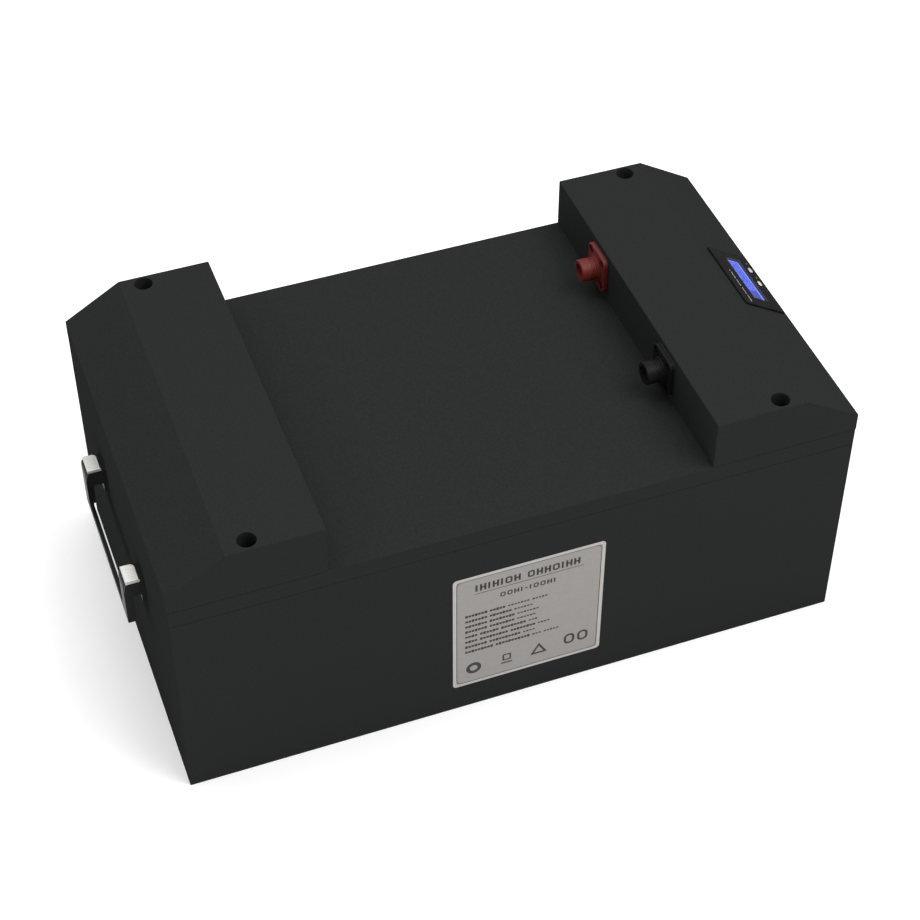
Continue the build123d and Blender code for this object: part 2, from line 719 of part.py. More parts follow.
def meter_button(y):
    """Oval key with a lip that stops it behind the bezel."""
    with BuildPart() as button:
        with BuildSketch(slope.offset(-METER_FRONT - BUTTON_GAP)):
            with Locations(Location((BUTTON_S, y), 90)):
                SlotOverall(BUTTON_ALONG, BUTTON_DOWN)
        extrude(amount=METER_FRONT + BUTTON_GAP + BEZEL_PROUD + BUTTON_PROUD)
        fillet(button.faces().sort_by(Axis.Z)[-1].edges(), radius=BUTTON_EDGE_R)
        with BuildSketch(slope.offset(-METER_FRONT - BUTTON_GAP)):
            with Locations(Location((BUTTON_S - BUTTON_LIP / 2, y), 90)):
                SlotOverall(BUTTON_ALONG + 2 * BUTTON_LIP, BUTTON_DOWN - BUTTON_LIP / 2)
        extrude(amount=-BUTTON_LIP_THICK)
    return button.part


with BuildPart() as upper_button:
    add(meter_button(BUTTON_YS[0]))
upper_button.part.label = "meter_button_rear"
export_step(upper_button.part, "parts/meter_button_rear.step")

with BuildPart() as lower_button:
    add(meter_button(BUTTON_YS[1]))
lower_button.part.label = "meter_button_front"
export_step(lower_button.part, "parts/meter_button_front.step")

# ------------------------------------------------------------------ folding handles
# Each end has a pressed steel bail on two brackets; the right one is drawn and mirrored.
throat = BAIL_BOTTOM + BAIL_BAR
bail_middle = LENGTH / 2 + BAIL_H / 2
with BuildPart() as right_bail:
    with BuildSketch(end_plane(BAIL_H - BAIL_THICK)):
        with Locations((0, (BAIL_BOTTOM + PIVOT_Z) / 2)):
            Rectangle(2 * BAIL_OUT, PIVOT_Z - BAIL_BOTTOM)
        with Locations((0, (throat + PIVOT_Z) / 2)):
            Rectangle(2 * BAIL_IN, PIVOT_Z - throat, mode=Mode.SUBTRACT)
    extrude(amount=BAIL_THICK)
    across = right_bail.edges().filter_by(Axis.X)
    fillet(across.group_by(Axis.Z)[1], radius=BAIL_IN_R)
    for sy in (-1, 1):
        with BuildSketch(end_plane(BAIL_H - BAIL_THICK)):
            with Locations((sy * (BAIL_OUT - BAIL_THICK / 2), (BAIL_FLANGE_TOP + BAIL_BOTTOM) / 2)):
                Rectangle(BAIL_THICK, BAIL_FLANGE_TOP - BAIL_BOTTOM)
        extrude(amount=-BAIL_FLANGE)
    lowest = right_bail.edges().filter_by(Axis.X).group_by(Axis.Z)[0].sort_by(Axis.Y)
    fillet([lowest[0], lowest[-1]], radius=BAIL_OUT_R)
    with BuildSketch(Plane.XZ):
        with Locations((bail_middle, (BAIL_BOTTOM + PIVOT_Z) / 2)):
            Rectangle(BAIL_H, PIVOT_Z - BAIL_BOTTOM)
        toe = vertices().group_by(Axis.Y)[0].sort_by(Axis.X)[-1]
        fillet(toe, radius=BAIL_TOE_R)
    extrude(amount=BAIL_OUT, both=True, mode=Mode.INTERSECT)
    for sy in (-1, 1):
        with BuildSketch(Plane.XZ.offset(-sy * BAIL_IN)):
            with Locations((LENGTH / 2 + PIVOT_H, PIVOT_Z)):
                Circle(EYE_R)
        extrude(amount=-sy * (BAIL_OUT - BAIL_IN))
    with BuildSketch(Plane.XZ):
        with Locations((LENGTH / 2 + PIVOT_H, PIVOT_Z)):
            Circle(EYE_BORE_R)
    extrude(amount=WIDTH / 2, both=True, mode=Mode.SUBTRACT)
right_bail.part.label = "right_bail"
export_step(right_bail.part, "parts/right_bail.step")


def bracket(sy):
    """Base plate with two cheeks that carry the hinge pin."""
    middle = sy * (BRACKET_IN + BRACKET_OUT) / 2
    wide = BRACKET_OUT - BRACKET_IN
    with BuildPart() as base:
        with BuildSketch(end_plane(0)):
            with Locations((middle, (BRACKET_TOP + BRACKET_BOTTOM) / 2)):
                Rectangle(wide, BRACKET_TOP - BRACKET_BOTTOM)
        extrude(amount=BRACKET_BASE)
        for side in (-1, 1):
            y = middle + side * (wide - CHEEK) / 2
            with BuildSketch(Plane.XZ.offset(-y)):
                with Locations((LENGTH / 2 + BRACKET_H / 2, (BRACKET_TOP + CHEEK_BOTTOM) / 2)):
                    Rectangle(BRACKET_H, BRACKET_TOP - CHEEK_BOTTOM)
                outer = [v for v in vertices() if v.Z < PIVOT_Z and v.X > LENGTH / 2 + 1]
                fillet(outer, radius=CHEEK_R)
            extrude(amount=CHEEK / 2, both=True)
        with BuildSketch(Plane.XZ.offset(-middle)):
            with Locations((LENGTH / 2 + PIVOT_H, PIVOT_Z)):
                Circle(PIN_R)
        extrude(amount=wide, both=True, mode=Mode.SUBTRACT)
        with BuildSketch(end_plane(0)):
            for z in HANDLE_SCREW_ZS:
                with Locations((sy * HANDLE_SCREW_Y, z)):
                    Circle(HANDLE_SCREW_HOLE_R)
        extrude(amount=BRACKET_BASE, mode=Mode.SUBTRACT)
    return base.part


def bracket_cap(sy):
    """Pressed stainless cap set into the top of a bracket, one inner corner rounded."""
    near = sy * (BRACKET_IN + BRACKET_OUT) / 2 - (BRACKET_OUT - BRACKET_IN) / 2
    wide = BRACKET_OUT - BRACKET_IN - CAP_INSET
    with BuildPart() as cap:
        with BuildSketch(Plane.XY.offset(BRACKET_TOP)):
            with Locations((LENGTH / 2 + (CAP_START + CAP_END) / 2, near + wide / 2)):
                Rectangle(CAP_END - CAP_START, wide)
            inner = vertices().sort_by(Axis.X)[:2].sort_by(Axis.Y)[-1]
            fillet(inner, radius=CAP_CORNER_R)
        extrude(amount=CAP_THICK)
        fillet(cap.faces().sort_by(Axis.Z)[-1].edges(), radius=EDGE_R)
    return cap.part


def hinge_pin(sy):
    """Pin through both cheeks of a bracket, with its ends flush."""
    middle = sy * (BRACKET_IN + BRACKET_OUT) / 2
    with BuildPart() as pin:
        with BuildSketch(Plane.XZ.offset(-middle)):
            with Locations((LENGTH / 2 + PIVOT_H, PIVOT_Z)):
                Circle(PIN_R)
        extrude(amount=(BRACKET_OUT - BRACKET_IN) / 2, both=True)
    return pin.part


with BuildPart() as right_front_bracket:
    add(bracket(-1))
right_front_bracket.part.label = "right_front_bracket"
export_step(right_front_bracket.part, "parts/right_front_bracket.step")

with BuildPart() as right_rear_bracket:
    add(bracket(1))
right_rear_bracket.part.label = "right_rear_bracket"
export_step(right_rear_bracket.part, "parts/right_rear_bracket.step")

# Caps, pins, screws and backing plates of both ends
def both_ends(*right_pieces):
    """The right-hand pieces together with their mirror images."""
    with BuildPart() as pair:
        for piece in right_pieces:
            add(piece)
            add(piece.mirror(Plane.YZ))
    return pair.part


with BuildPart() as bracket_caps:
    add(both_ends(bracket_cap(-1), bracket_cap(1)))
bracket_caps.part.label = "bracket_caps"
export_step(bracket_caps.part, "parts/bracket_caps.step")

with BuildPart() as hinge_pins:
    add(both_ends(hinge_pin(-1), hinge_pin(1)))
hinge_pins.part.label = "hinge_pins"
export_step(hinge_pins.part, "parts/hinge_pins.step")

# Screws through bracket and wall into a steel plate inside
screw_places = [(sy * HANDLE_SCREW_Y, z) for sy in (-1, 1) for z in HANDLE_SCREW_ZS]
with BuildPart() as right_screws:
    with BuildSketch(end_plane(BRACKET_BASE)):
        with Locations(screw_places):
            Circle(HANDLE_HEAD_R)
    extrude(amount=HANDLE_HEAD)
    fillet(right_screws.edges().group_by(Axis.X)[-1], radius=EDGE_R)
    with BuildSketch(end_plane(BRACKET_BASE)):
        with Locations(screw_places):
            Circle(HANDLE_SCREW_R)
    extrude(amount=-BRACKET_BASE - HANDLE_SCREW_DEPTH)

with BuildPart() as handle_screws:
    add(both_ends(right_screws.part))
handle_screws.part.label = "handle_screws"
export_step(handle_screws.part, "parts/handle_screws.step")

with BuildPart() as right_plate:
    with BuildSketch(end_plane(-WALL - BACKING)):
        with Locations((0, BACKING_Z)):
            Rectangle(BACKING_ALONG, BACKING_TALL)
        with Locations(screw_places):
            Circle(HANDLE_SCREW_R, mode=Mode.SUBTRACT)
    extrude(amount=BACKING)

with BuildPart() as backing_plates:
    add(both_ends(right_plate.part))
backing_plates.part.label = "backing_plates"
export_step(backing_plates.part, "parts/backing_plates.step")

with BuildPart() as left_bail:
    mirror(right_bail.part, about=Plane.YZ)
left_bail.part.label = "left_bail"
export_step(left_bail.part, "parts/left_bail.step")

with BuildPart() as left_front_bracket:
    mirror(right_front_bracket.part, about=Plane.YZ)
left_front_bracket.part.label = "left_front_bracket"
export_step(left_front_bracket.part, "parts/left_front_bracket.step")

with BuildPart() as left_rear_bracket:
    mirror(right_rear_bracket.part, about=Plane.YZ)
left_rear_bracket.part.label = "left_rear_bracket"
export_step(left_rear_bracket.part, "parts/left_rear_bracket.step")

# ------------------------------------------------------------------ cells
# Eight prismatic cells in series, clamped between two end plates by steel bands.
number = 0
for column_x in CELL_COLUMNS:
    for row_y in CELL_ROWS:
        number += 1
        with BuildPart() as cell:
            with BuildSketch(Plane.XY.offset(CELL_BASE)):
                with Locations((column_x, row_y)):
                    RectangleRounded(CELL_X, CELL_Y, CELL_EDGE_R)
            extrude(amount=CELL_Z)
        cell.part.label = f"cell_{number}"
        export_step(cell.part, f"parts/cell_{number}.step")

terminals = [
    (x + side * TERMINAL_OFFSET, y) for x in CELL_COLUMNS for y in CELL_ROWS for side in (-1, 1)
]
with BuildPart() as cell_terminals:
    with BuildSketch(Plane.XY.offset(CELL_TOP)):
        with Locations(terminals):
            Circle(TERMINAL_R)
    extrude(amount=TERMINAL_TALL)
    with BuildSketch(Plane.XY.offset(CELL_TOP + TERMINAL_TALL)):
        with Locations(terminals):
            Circle(POLE_R)
    extrude(amount=POLE_TALL)
cell_terminals.part.label = "cell_terminals"
export_step(cell_terminals.part, "parts/cell_terminals.step")

# Copper links: along Y inside each column, then one along X at the back between the columns
left_x = [CELL_COLUMNS[0] - TERMINAL_OFFSET, CELL_COLUMNS[0] + TERMINAL_OFFSET]
right_x = [CELL_COLUMNS[1] + TERMINAL_OFFSET, CELL_COLUMNS[1] - TERMINAL_OFFSET]
row_links = [
    (xs[row % 2], CELL_ROWS[row] + CELL_PITCH / 2) for xs in (left_x, right_x) for row in range(CELL_GAPS)
]
cross_link = ((left_x[1] + right_x[1]) / 2, CELL_ROWS[-1])
BUSBAR_Z = CELL_TOP + TERMINAL_TALL
with BuildPart() as busbars:
    with BuildSketch(Plane.XY.offset(BUSBAR_Z)):
        with Locations(row_links):
            RectangleRounded(BUSBAR_WIDE, CELL_PITCH + BUSBAR_OVERHANG, PLATE_CORNER_R)
        with Locations(cross_link):
            RectangleRounded(right_x[1] - left_x[1] + BUSBAR_OVERHANG, BUSBAR_WIDE, PLATE_CORNER_R)
        with Locations(terminals):
            Circle(POLE_R, mode=Mode.SUBTRACT)
    extrude(amount=BUSBAR_THICK)
busbars.part.label = "busbars"
export_step(busbars.part, "parts/busbars.step")

free_terminals = [(left_x[1], CELL_ROWS[0]), (right_x[1], CELL_ROWS[0])]
linked_terminals = [place for place in terminals if place not in free_terminals]
with BuildPart() as terminal_nuts:
    with BuildSketch(Plane.XY.offset(BUSBAR_Z + BUSBAR_THICK)):
        with Locations(linked_terminals):
            RegularPolygon(NUT_R, SIX)
            Circle(POLE_R, mode=Mode.SUBTRACT)
    extrude(amount=NUT_TALL)
terminal_nuts.part.label = "terminal_nuts"
export_step(terminal_nuts.part, "parts/terminal_nuts.step")

with BuildPart() as cell_separators:
    with BuildSketch(Plane.XY.offset(CELL_BASE)):
        for row in range(CELL_GAPS):
            with Locations(((PACK_X[0] + PACK_X[1]) / 2, CELL_ROWS[row] + CELL_PITCH / 2)):
                Rectangle(PACK_X[1] - PACK_X[0], CELL_PITCH - CELL_Y)
    extrude(amount=CELL_Z - TERMINAL_TALL)
cell_separators.part.label = "cell_separators"
export_step(cell_separators.part, "parts/cell_separators.step")

with BuildPart() as cell_pad:
    with BuildSketch(Plane.XY.offset(FLOOR)):
        with Locations(((PACK_X[0] + PACK_X[1]) / 2, 0)):
            Rectangle(PACK_X[1] - PACK_X[0] + 2 * END_PLATE, 2 * PACK_Y)
    extrude(amount=CELL_BASE - FLOOR)
cell_pad.part.label = "cell_pad"
export_step(cell_pad.part, "parts/cell_pad.step")

with BuildPart() as cell_end_plates:
    with BuildSketch(Plane.XY.offset(CELL_BASE)):
        with Locations((PACK_X[0] - END_PLATE / 2, 0), (PACK_X[1] + END_PLATE / 2, 0)):
            Rectangle(END_PLATE, 2 * PACK_Y)
    extrude(amount=CELL_Z)
cell_end_plates.part.label = "cell_end_plates"
export_step(cell_end_plates.part, "parts/cell_end_plates.step")

with BuildPart() as cell_bands:
    for z in BAND_ZS:
        with BuildSketch(Plane.XY.offset(z)):
            with Locations(((PACK_X[0] + PACK_X[1]) / 2, 0)):
                block_x = PACK_X[1] - PACK_X[0] + 2 * END_PLATE
                Rectangle(block_x + 2 * BAND_THICK, 2 * (PACK_Y + BAND_THICK))
                Rectangle(block_x, 2 * PACK_Y, mode=Mode.SUBTRACT)
        extrude(amount=BAND_TALL)
cell_bands.part.label = "cell_bands"
export_step(cell_bands.part, "parts/cell_bands.step")

# Foam block that fills the space at the left end, below the handle's backing plate
FOAM_GAP = 2.0
FOAM_TOP = 105.0
foam_x = (-LENGTH / 2 + WALL, PACK_X[0] - END_PLATE - FOAM_GAP)
with BuildPart() as foam_block:
    with BuildSketch(Plane.XY.offset(FLOOR)):
        with Locations((sum(foam_x) / 2, 0)):
            Rectangle(foam_x[1] - foam_x[0], 2 * PACK_Y)
    extrude(amount=FOAM_TOP - FLOOR)
foam_block.part.label = "foam_block"
export_step(foam_block.part, "parts/foam_block.step")

# ------------------------------------------------------------------ protection board, fuse, cables
bms_middle = (sum(BMS_X) / 2, sum(BMS_Y) / 2)
bms_deep = BMS_X[1] - BMS_X[0] - FIN_TALL
bms_long = BMS_Y[1] - BMS_Y[0]
bms_core = (bms_middle[0] - FIN_TALL / 2, bms_middle[1])
with BuildPart() as board_case:
    with BuildSketch(Plane.XY.offset(FLOOR)):
        with Locations(bms_core):
            Rectangle(bms_deep, bms_long)
        with Locations((BMS_X[1] - FIN_TALL / 2, bms_middle[1])):
            with GridLocations(1, FIN_PITCH, 1, FIN_COUNT):
                Rectangle(FIN_TALL, FIN_THICK)
    extrude(amount=BMS_TOP - FLOOR)
    with BuildSketch(Plane.XY.offset(FLOOR + BMS_WALL)):
        with Locations(bms_core):
            Rectangle(bms_deep - 2 * BMS_WALL, bms_long - 2 * BMS_WALL)
    extrude(amount=BMS_TOP - FLOOR - 2 * BMS_WALL, mode=Mode.SUBTRACT)
board_case.part.label = "board_case"
export_step(board_case.part, "parts/board_case.step")

with BuildPart() as protection_board:
    with BuildSketch(Plane.XY.offset(FLOOR + BMS_WALL)):
        with Locations(bms_core):
            Rectangle(2 * BMS_BOARD_HALF, bms_long - 2 * BMS_WALL - 1)
    extrude(amount=BMS_TOP - FLOOR - 2 * BMS_WALL)
    with BuildSketch(Plane.YZ.offset(bms_core[0] + BMS_BOARD_HALF)):
        with Locations((bms_core[1], BMS_TOP / 2)):
            with GridLocations(*SWITCH_GRID):
                Rectangle(*POWER_SWITCH)
    extrude(amount=POWER_SWITCH_TALL)
protection_board.part.label = "protection_board"
export_step(protection_board.part, "parts/protection_board.step")

LUG_YS = (-CONNECTOR_Y, -CONNECTOR_Y - LUG_PITCH)
with BuildPart() as board_lugs:
    with BuildSketch(Plane.XY.offset(BMS_TOP)):
        for y in LUG_YS:
            with Locations((CABLE_X, y)):
                RectangleRounded(*LUG, PLATE_CORNER_R)
    extrude(amount=LUG_TOP - BMS_TOP)
board_lugs.part.label = "board_lugs"
export_step(board_lugs.part, "parts/board_lugs.step")

with BuildPart() as main_fuse:
    with BuildSketch(Plane.XY.offset(FUSE_BOTTOM)):
        with Locations((sum(FUSE_X) / 2, sum(FUSE_Y) / 2)):
            RectangleRounded(FUSE_X[1] - FUSE_X[0], FUSE_Y[1] - FUSE_Y[0], PLATE_CORNER_R)
    extrude(amount=BMS_TOP - FUSE_BOTTOM)
    with BuildSketch(Plane.XY.offset(BMS_TOP)):
        with Locations((FUSE_FEED_X, CONNECTOR_Y), (CABLE_X, CONNECTOR_Y)):
            Circle(CABLE_R + 2)
    extrude(amount=LUG_TOP - BMS_TOP)
main_fuse.part.label = "main_fuse"
export_step(main_fuse.part, "parts/main_fuse.step")


def cable(points, bend_r, wire_r):
    """Round cable along straight runs joined by arcs."""
    with BuildPart() as wire:
        with BuildLine() as route:
            FilletPolyline(*points, radius=bend_r)
        with BuildSketch(Plane(origin=points[0], z_dir=Vector(*points[1]) - Vector(*points[0]))):
            Circle(wire_r)
        sweep(path=route.line)
    return wire.part


stud_x = INNER_X + STUD_END
with BuildPart() as positive_cable:
    add(
        cable(
            [
                (stud_x, CONNECTOR_Y, CONNECTOR_Z),
                (CABLE_X, CONNECTOR_Y, CONNECTOR_Z),
                (CABLE_X, CONNECTOR_Y, LUG_TOP),
            ],
            CABLE_BEND_R,
            CABLE_R,
        )
    )
positive_cable.part.label = "positive_cable"
export_step(positive_cable.part, "parts/positive_cable.step")

with BuildPart() as negative_cable:
    add(
        cable(
            [
                (stud_x, -CONNECTOR_Y, CONNECTOR_Z),
                (CABLE_X, -CONNECTOR_Y, CONNECTOR_Z),
                (CABLE_X, -CONNECTOR_Y, LUG_TOP),
            ],
            CABLE_BEND_R,
            CABLE_R,
        )
    )
negative_cable.part.label = "negative_cable"
export_step(negative_cable.part, "parts/negative_cable.step")

pole_top = CELL_TOP + TERMINAL_TALL + POLE_TALL
with BuildPart() as cell_negative_cable:
    add(
        cable(
            [
                (left_x[1], CELL_ROWS[0], pole_top),
                (left_x[1], CELL_ROWS[0], CABLE_LEVEL),
                (left_x[1] + CABLE_CROSSING, LUG_YS[1], CABLE_LEVEL),
                (CABLE_X, LUG_YS[1], CABLE_LEVEL),
                (CABLE_X, LUG_YS[1], LUG_TOP),
            ],
            CABLE_R + 1,
            CABLE_R,
        )
    )
cell_negative_cable.part.label = "cell_negative_cable"
export_step(cell_negative_cable.part, "parts/cell_negative_cable.step")

with BuildPart() as cell_positive_cable:
    add(
        cable(
            [
                (right_x[1], CELL_ROWS[0], pole_top),
                (right_x[1], CELL_ROWS[0], CABLE_LEVEL),
                (right_x[1], CONNECTOR_Y, CABLE_LEVEL),
                (FUSE_FEED_X, CONNECTOR_Y, CABLE_LEVEL),
                (FUSE_FEED_X, CONNECTOR_Y, LUG_TOP),
            ],
            CABLE_R + 1,
            CABLE_R,
        )
    )
cell_positive_cable.part.label = "cell_positive_cable"
export_step(cell_positive_cable.part, "parts/cell_positive_cable.step")

with BuildPart() as meter_lead:
    add(
        cable(
            [
                (lead_start.X, METER_Y, lead_start.Z),
                (lead_turn.X, METER_Y, lead_turn.Z),
                (lead_turn.X, METER_Y, BMS_TOP),
            ],
            LEAD_R + 2,
            LEAD_R,
        )
    )
meter_lead.part.label = "meter_lead"
export_step(meter_lead.part, "parts/meter_lead.step")
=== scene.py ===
import math

import bpy
from mathutils import Matrix, Vector


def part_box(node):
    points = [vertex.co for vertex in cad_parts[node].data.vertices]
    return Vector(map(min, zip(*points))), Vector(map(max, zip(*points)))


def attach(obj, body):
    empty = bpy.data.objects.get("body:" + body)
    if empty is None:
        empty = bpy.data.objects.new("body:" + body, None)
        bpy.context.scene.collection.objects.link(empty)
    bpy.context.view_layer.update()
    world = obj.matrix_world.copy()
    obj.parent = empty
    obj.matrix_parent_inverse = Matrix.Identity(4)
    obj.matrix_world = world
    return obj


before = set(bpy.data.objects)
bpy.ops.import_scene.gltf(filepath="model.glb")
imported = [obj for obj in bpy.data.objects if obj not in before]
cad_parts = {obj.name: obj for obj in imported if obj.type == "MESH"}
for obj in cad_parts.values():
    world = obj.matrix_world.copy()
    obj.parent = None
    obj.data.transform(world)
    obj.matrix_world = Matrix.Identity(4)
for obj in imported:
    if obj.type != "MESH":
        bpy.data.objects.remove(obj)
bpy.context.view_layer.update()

# ------------------------------------------------------------------ camera
# A long lens looking down on the long label side from the left, with the frame shifted a little.
CAMERA_PLACE = (-0.38708, -1.06762, 1.24478)
camera_data = bpy.data.cameras.new("camera")
camera_data.lens = 84.26
camera_data.sensor_width = 36.0
camera_data.shift_y = -0.0487
camera_data.clip_start = 0.05
camera_data.clip_end = 30.0
camera = bpy.data.objects.new("camera", camera_data)
bpy.context.scene.collection.objects.link(camera)
look_right = Vector((0.938786, -0.344501, 0.000681))
look_down = Vector((-0.238581, -0.651570, -0.720094))
look_ahead = Vector((0.248517, 0.675851, -0.693876))
turn = Matrix((look_right, -look_down, -look_ahead)).transposed().to_4x4()
camera.matrix_world = Matrix.Translation(CAMERA_PLACE) @ turn
bpy.context.scene.camera = camera


# ------------------------------------------------------------------ case, lid and end covers
# Four injection-moulded ABS shells, black all through. The mould was spark-eroded, which leaves a
# fine even grain, deep enough that the faces stay matt and dark even at a low angle. The real grain
# is about 0.2 mm; it is drawn near 1 mm so that it shows.
def linear(hex_colour):
    """sRGB hex text to linear RGBA."""
    channels = [int(hex_colour[i:i + 2], 16) / 255 for i in (0, 2, 4)]
    return [c / 12.92 if c < 0.04045 else ((c + 0.055) / 1.055) ** 2.4 for c in channels] + [1.0]


def add_node(tree, kind, settings=None, links=None):
    """Adds a shader node. Settings are its properties or input values; links are inputs fed by sockets."""
    node = tree.nodes.new(kind)
    for name, value in (settings or {}).items():
        if isinstance(name, str) and hasattr(node, name):
            setattr(node, name, value)
        else:
            node.inputs[name].default_value = value
    for name, source in (links or {}).items():
        tree.links.new(source, node.inputs[name])
    return node


def new_material(name, **sockets):
    """A Principled material with its even values set on the shader's own sockets."""
    made = bpy.data.materials.new(name)
    made.use_nodes = True
    shader = made.node_tree.nodes["Principled BSDF"]
    for socket, value in sockets.items():
        shader.inputs[socket.replace("_", " ")].default_value = value
    return made, made.node_tree, shader


def grain(tree, size_mm, detail=2.0, stretch=(1, 1, 1)):
    """Noise in object space whose grains are about that many millimetres across."""
    place = add_node(tree, "ShaderNodeTexCoord").outputs["Object"]
    mapped = add_node(tree, "ShaderNodeMapping", {"Scale": stretch}, {"Vector": place})
    noise = add_node(tree, "ShaderNodeTexNoise", {"Scale": 1000 / size_mm, "Detail": detail},
                     {"Vector": mapped.outputs[0]})
    return noise.outputs["Fac"]


def vary_colour(tree, shader, factor, dark, light, low=0.35, high=0.65):
    """Base colour that wanders between two tones."""
    ramp = add_node(tree, "ShaderNodeValToRGB", links={"Fac": factor})
    ramp.color_ramp.elements[0].position = low
    ramp.color_ramp.elements[0].color = linear(dark)
    ramp.color_ramp.elements[1].position = high
    ramp.color_ramp.elements[1].color = linear(light)
    tree.links.new(ramp.outputs["Color"], shader.inputs["Base Color"])
    return ramp.outputs["Color"]


def vary_roughness(tree, shader, factor, smooth, rough):
    """Roughness that wanders between two values."""
    spread = add_node(tree, "ShaderNodeMapRange", {"To Min": smooth, "To Max": rough}, {"Value": factor})
    tree.links.new(spread.outputs["Result"], shader.inputs["Roughness"])


def emboss(tree, shader, factor, depth_mm, strength=1.0):
    """Bump whose full height is that many millimetres."""
    bump = add_node(tree, "ShaderNodeBump", {"Strength": strength, "Distance": depth_mm / 1000},
                    {"Height": factor})
    tree.links.new(bump.outputs["Normal"], shader.inputs["Normal"])


def dress(material, *names):
    """Gives CAD nodes this material in every slot they have."""
    for name in names:
        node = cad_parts[name]
        if not node.material_slots:
            node.data.materials.append(material)
        for held in node.material_slots:
            held.material = material


moulded_abs, tree, shader = new_material("spark_eroded_black_abs", IOR=1.54, Specular_IOR_Level=0.0)
vary_colour(tree, shader, grain(tree, 1.2, 4.0), "232524", "282a29")
vary_roughness(tree, shader, grain(tree, 24.0, 3.0), 0.84, 0.92)
emboss(tree, shader, grain(tree, 0.9, 2.0), 0.03, 0.5)
dress(moulded_abs, "case_body", "lid", "left_end_cover", "right_end_cover")

# ------------------------------------------------------------------ seals
# Moulded nitrile rubber in the case rim, behind the connector flanges and round the cables. Dull,
# slightly dusty black with a faint mould bloom.
nitrile, tree, shader = new_material("moulded_nitrile_rubber", IOR=1.52, Specular_IOR_Level=0.25)
vary_colour(tree, shader, grain(tree, 4.0, 4.0), "161616", "222221")
vary_roughness(tree, shader, grain(tree, 6.0), 0.65, 0.85)
emboss(tree, shader, grain(tree, 0.5), 0.02, 0.4)
dress(nitrile, "lid_gasket", "lid_grommets", "connector_seals")

# ------------------------------------------------------------------ screws
# Blackened socket screws in the deep cover holes, and the hinge pins. The oxide is thin, so
#  the steel under it still glints on the rims and in the hexagon sockets.
black_oxide, tree, shader = new_material("black_oxide_steel_screw", Metallic=1.0)
vary_colour(tree, shader, grain(tree, 1.2, 3.0), "1b1c1d", "2c2d2f")
vary_roughness(tree, shader, grain(tree, 0.8), 0.38, 0.55)
emboss(tree, shader, grain(tree, 0.4), 0.01, 0.3)
dress(black_oxide, "cover_screws", "hinge_pins")

# The small flange screws are phosphated, which is duller. Their near-black colour, darker than any
#  steel, is painted shade, so their counterbores look like empty black holes.
painted_hole_shade, tree, shader = new_material("flange_screw_painted_hole_shade", IOR=1.45, Specular_IOR_Level=0.1)
# painted shade: the screw heads are coloured almost black to stand for the dark inside the counterbores
vary_colour(tree, shader, grain(tree, 0.6, 3.0), "040404", "080808")
vary_roughness(tree, shader, grain(tree, 0.5), 0.70, 0.85)
dress(painted_hole_shade, "flange_screws")

# Zinc-plated screws, nuts, pins and plates: pale grey with a faint cloudy passivation.
zinc, tree, shader = new_material("passivated_zinc_plate", Metallic=1.0)
vary_colour(tree, shader, grain(tree, 3.0, 4.0), "9b9c9c", "b9b9b6")
vary_roughness(tree, shader, grain(tree, 1.5), 0.28, 0.45)
emboss(tree, shader, grain(tree, 0.6), 0.01, 0.3)
dress(zinc, "lid_screws", "handle_screws", "backing_plates", "terminal_nuts", "cell_bands")

# ------------------------------------------------------------------ rating label
# Polyester film, pale warm grey with a lighter unprinted rim, stuck to the front wall. The print is
# screen ink: a thin border line, word-like bars and four plain marks, with no lettering.
label_low, label_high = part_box("rating_label")
label_film, tree, shader = new_material("printed_polyester_film", IOR=1.57, Specular_IOR_Level=0.30)
vary_colour(tree, shader, grain(tree, 2.5, 3.0), "837f7c", "878380")
vary_roughness(tree, shader, grain(tree, 5.0), 0.42, 0.52)
emboss(tree, shader, grain(tree, 1.6), 0.008, 0.3)
dress(label_film, "rating_label")

screen_ink, tree, shader = new_material("black_screen_ink", IOR=1.50, Specular_IOR_Level=0.25)
vary_colour(tree, shader, grain(tree, 1.2, 3.0), "232221", "343230")
vary_roughness(tree, shader, grain(tree, 0.8), 0.50, 0.65)

MM = 0.001
INK_MM = 0.04


def deselect():
    """Nothing selected, nothing active, so an operator acts only on what is made next."""
    for chosen in list(bpy.context.selected_objects):
        chosen.select_set(False)
    bpy.context.view_layer.objects.active = None


def rounded_slab(name, wide, tall, radius, thick, segments=3):
    """A plate lying on XY, centred, with rounded corners, its underside at Z 0. Millimetres."""
    deselect()
    bpy.ops.mesh.primitive_plane_add(size=1.0)
    plate = bpy.context.object
    plate.name = name
    plate.scale = (wide * MM, tall * MM, 1.0)
    bpy.ops.object.transform_apply(location=False, rotation=False, scale=True)
    bpy.ops.object.mode_set(mode="EDIT")
    bpy.ops.mesh.select_all(action="SELECT")
    bpy.ops.mesh.bevel(offset=radius * MM, segments=segments, affect="VERTICES")
    bpy.ops.mesh.select_all(action="SELECT")
    bpy.ops.mesh.extrude_region_move(TRANSFORM_OT_translate={"value": (0, 0, thick * MM)})
    bpy.ops.mesh.select_all(action="SELECT")
    bpy.ops.mesh.normals_make_consistent(inside=False)
    bpy.ops.object.mode_set(mode="OBJECT")
    return plate


def hollow_line(line, thick):
    """Turns the flat face in edit mode into its outline: that wide, hollow inside, and raised."""
    bpy.ops.mesh.select_all(action="SELECT")
    bpy.ops.mesh.inset(thickness=line * MM, depth=0)
    bpy.ops.mesh.delete(type="FACE")
    bpy.ops.mesh.select_all(action="SELECT")
    bpy.ops.mesh.extrude_region_move(TRANSFORM_OT_translate={"value": (0, 0, thick * MM)})
    bpy.ops.mesh.select_all(action="SELECT")
    bpy.ops.mesh.normals_make_consistent(inside=False)
    bpy.ops.object.mode_set(mode="OBJECT")


